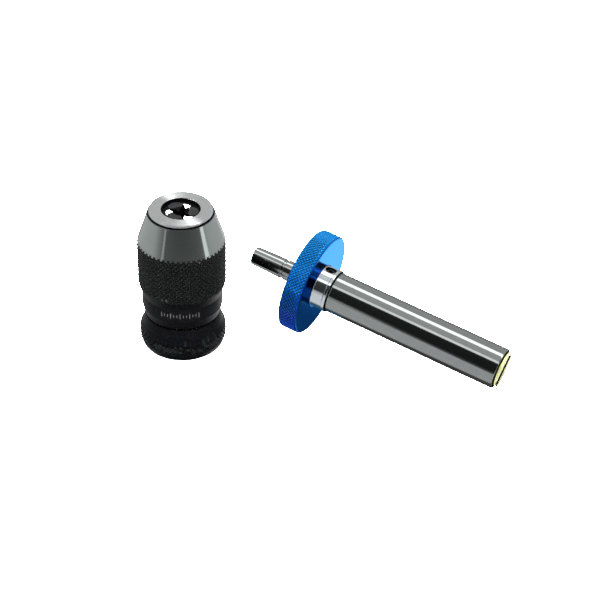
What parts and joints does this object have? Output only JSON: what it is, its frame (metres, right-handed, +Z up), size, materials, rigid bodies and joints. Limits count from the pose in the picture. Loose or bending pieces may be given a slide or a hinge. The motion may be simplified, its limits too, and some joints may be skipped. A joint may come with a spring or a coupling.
{
  "type": "drill chuck",
  "caption": "Small keyless drill chuck standing nose up beside its sensitive-drilling arbor: spring-loaded taper quill, knurled finger ring on a bearing and a straight shank.",
  "frame": {"origin": "on the floor, at the middle of the underside of the chuck and the arbor together", "axes": "+Z up along the chuck's axis; +X in plan along the arbor from its finger ring to its shank's tail; the arbor's axis dips 9 degrees to the tail"},
  "size_m": [0.1076, 0.0536, 0.0466],
  "materials": {
    "ground_steel": "ground and polished, long soft reflections",
    "turned_steel": "fine turned, bright",
    "bearing_steel": "polished",
    "black_oxide": "black oxide, satin",
    "jaw_steel": "dark ground tool steel",
    "blue_anodised": "blue anodised, knurled rim, turned faces",
    "brass": "turned, pale",
    "rubber": "matt"
  },
  "bodies": {
    "arbor": {"shank": "ground_steel", "rear_plug": "brass", "drive_collar": "turned_steel", "dog_screw": "black_oxide", "return_spring": "bearing_steel"},
    "quill": {"quill": "ground_steel", "spring_retainer": "black_oxide", "retainer_screw": "black_oxide", "bearing_inner_race": "bearing_steel", "bearing_snap_ring": "black_oxide"},
    "finger_ring": {"finger_ring": "blue_anodised", "bearing_outer_race": "bearing_steel", "bearing_ball_cage": "brass", "bearing_circlip": "black_oxide"},
    "chuck_base": {"chuck_body": "turned_steel", "back_ring": "black_oxide", "upper_race": "bearing_steel", "thrust_ball_cage": "brass", "dust_seal": "rubber"},
    "sleeve": {"outer_sleeve": "black_oxide", "jaw_guide": "turned_steel", "sleeve_lock_ring": "black_oxide", "lower_race": "bearing_steel"},
    "carrier": {"jaw_carrier": "turned_steel", "feed_screw": "turned_steel"},
    "jaw_1": {"jaw_1": "jaw_steel"},
    "jaw_2": {"jaw_2": "jaw_steel"},
    "jaw_3": {"jaw_3": "jaw_steel"}
  },
  "joints": [
    {"name": "quill_feed", "type": "slide", "parent": "arbor", "child": "quill", "axis": [-0.9877, 0, 0.1564], "range_m": [0, 0.012], "stiffness_N_per_m": 150, "springref_m": -0.01, "deforming": ["return_spring"]},
    {"name": "finger_ring_spin", "type": "hinge", "parent": "quill", "child": "finger_ring", "pos_m": [-0.00975, 0.01075, 0.01612], "axis": [0.9877, 0, -0.1564], "continuous": true},
    {"name": "chuck_lift", "type": "slide", "parent": "arbor", "child": "chuck_base", "axis": [0, 0, 1], "range_m": [0, 0.03]},
    {"name": "sleeve_turn", "type": "hinge", "parent": "chuck_base", "child": "sleeve", "pos_m": [-0.04084, -0.01375, 0.03], "axis": [0, 0, -1], "range_deg": [0, 755]},
    {"name": "carrier_feed", "type": "slide", "parent": "sleeve", "child": "carrier", "axis": [0, 0, 1], "range_m": [0, 0.00504]},
    {"name": "jaw_1_slide", "type": "slide", "parent": "sleeve", "child": "jaw_1", "axis": [-0.2306, -0.1175, 0.9659], "range_m": [0, 0.00522]},
    {"name": "jaw_2_slide", "type": "slide", "parent": "sleeve", "child": "jaw_2", "axis": [0.2171, -0.141, 0.9659], "range_m": [0, 0.00522]},
    {"name": "jaw_3_slide", "type": "slide", "parent": "sleeve", "child": "jaw_3", "axis": [0.0135, 0.2585, 0.9659], "range_m": [0, 0.00522]}
  ],
  "couplings": [
    {"joint": "carrier_feed", "follows": "sleeve_turn", "m_per_rad": 0.00038197},
    {"joint": "jaw_1_slide", "follows": "sleeve_turn", "m_per_rad": 0.00039545},
    {"joint": "jaw_2_slide", "follows": "sleeve_turn", "m_per_rad": 0.00039545},
    {"joint": "jaw_3_slide", "follows": "sleeve_turn", "m_per_rad": 0.00039545}
  ]
}
